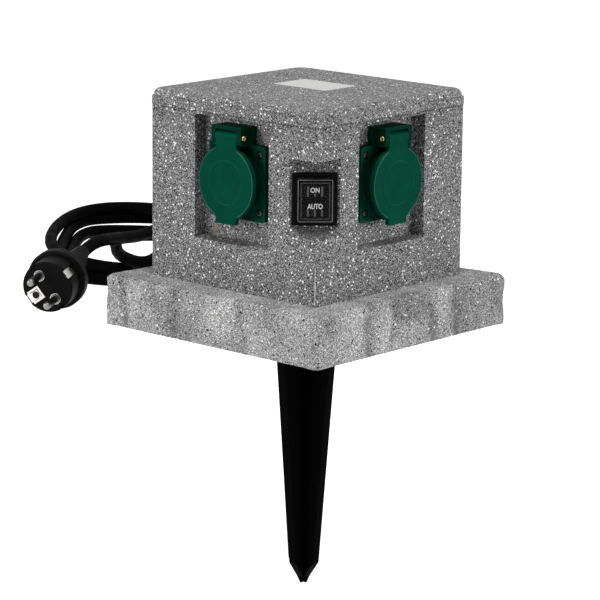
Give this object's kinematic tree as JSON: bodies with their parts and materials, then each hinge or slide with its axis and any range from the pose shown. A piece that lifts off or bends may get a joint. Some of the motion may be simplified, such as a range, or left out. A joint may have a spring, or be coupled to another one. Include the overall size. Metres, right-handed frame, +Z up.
{
  "type": "garden socket",
  "caption": "Garden mains socket: a granite-look cube on a stone-look base with a ground spike, spring-lidded sockets in its sides, a rocker switch in one corner and a cord with plug.",
  "frame": {"origin": "centre of the base's underside, at ground level, where the spike starts", "axes": "+Z up along the spike's axis, the front socket looks along -Y and the right one along +X, with the switch corner between them"},
  "size_m": [0.4256, 0.2741, 0.3434],
  "materials": {
    "stone": "moulded like hewn stone, speckled",
    "granite": "granite look, rough, with black and white specks",
    "black_plastic": "satin",
    "spike_plastic": "satin",
    "green_plastic": "semi-gloss dark green",
    "brass": "bright",
    "steel": "plain",
    "soft_black": "matt",
    "clear": "clear soft plastic",
    "panel": "pale label foil, bare",
    "board_green": "lacquered board",
    "grey_plastic": "plain",
    "cord_black": "smooth rubber",
    "nickel": "nickel plated"
  },
  "bodies": {
    "socket_box": {"back_contacts": "brass", "back_flange_screws": "brass", "back_frame": "green_plastic", "back_hinge_pin": "brass", "back_insert": "green_plastic", "back_lid_spring": "steel", "base_plate": "stone", "board_capacitor": "black_plastic", "board_relay": "black_plastic", "body_housing": "granite", "control_board": "board_green", "cord_coil": "cord_black", "cord_lead": "cord_black", "cord_plug_lead": "cord_black", "front_contacts": "brass", "front_flange_screws": "brass", "front_frame": "green_plastic", "front_hinge_pin": "brass", "front_insert": "green_plastic", "front_lid_spring": "steel", "gland_body": "black_plastic", "gland_boot": "soft_black", "gland_locknut": "black_plastic", "gland_nut": "black_plastic", "ground_spike": "spike_plastic", "left_contacts": "brass", "left_flange_screws": "brass", "left_frame": "green_plastic", "left_hinge_pin": "brass", "left_insert": "green_plastic", "left_lid_spring": "steel", "plug_body": "soft_black", "plug_earth_contact": "nickel", "plug_pins": "nickel", "plug_relief": "soft_black", "right_contacts": "brass", "right_flange_screws": "brass", "right_frame": "green_plastic", "right_hinge_pin": "brass", "right_insert": "green_plastic", "right_lid_spring": "steel", "roof_cover": "granite", "roof_seal": "soft_black", "spike_holder": "black_plastic", "switch_bezel": "black_plastic", "switch_boot": "clear", "switch_terminals": "brass", "terminal_block": "grey_plastic", "tie_screws": "steel", "top_panel": "panel"},
    "front_lid_body": {"front_lid": "green_plastic", "front_lid_gasket": "soft_black"},
    "right_lid_body": {"right_lid": "green_plastic", "right_lid_gasket": "soft_black"},
    "back_lid_body": {"back_lid": "green_plastic", "back_lid_gasket": "soft_black"},
    "left_lid_body": {"left_lid": "green_plastic", "left_lid_gasket": "soft_black"},
    "rocker": {"switch_rocker": "black_plastic"}
  },
  "joints": [
    {"name": "front_lid_hinge", "type": "hinge", "parent": "socket_box", "child": "front_lid_body", "pos_m": [0, -0.0762, 0.1365], "axis": [-1, 0, 0], "range_deg": [0, 105], "stiffness_Nm_per_rad": 0.01, "springref_deg": -17.19},
    {"name": "right_lid_hinge", "type": "hinge", "parent": "socket_box", "child": "right_lid_body", "pos_m": [0.0762, 0, 0.1365], "axis": [0, -1, 0], "range_deg": [0, 105], "stiffness_Nm_per_rad": 0.01, "springref_deg": -17.19},
    {"name": "back_lid_hinge", "type": "hinge", "parent": "socket_box", "child": "back_lid_body", "pos_m": [0, 0.0762, 0.1365], "axis": [1, 0, 0], "range_deg": [0, 105], "stiffness_Nm_per_rad": 0.01, "springref_deg": -17.19},
    {"name": "left_lid_hinge", "type": "hinge", "parent": "socket_box", "child": "left_lid_body", "pos_m": [-0.0762, 0, 0.1365], "axis": [0, 1, 0], "range_deg": [0, 105], "stiffness_Nm_per_rad": 0.01, "springref_deg": -17.19},
    {"name": "rocker_hinge", "type": "hinge", "parent": "socket_box", "child": "rocker", "pos_m": [0.06244, -0.06244, 0.1019], "axis": [-0.7071, -0.7071, 0], "range_deg": [0, 20]}
  ]
}
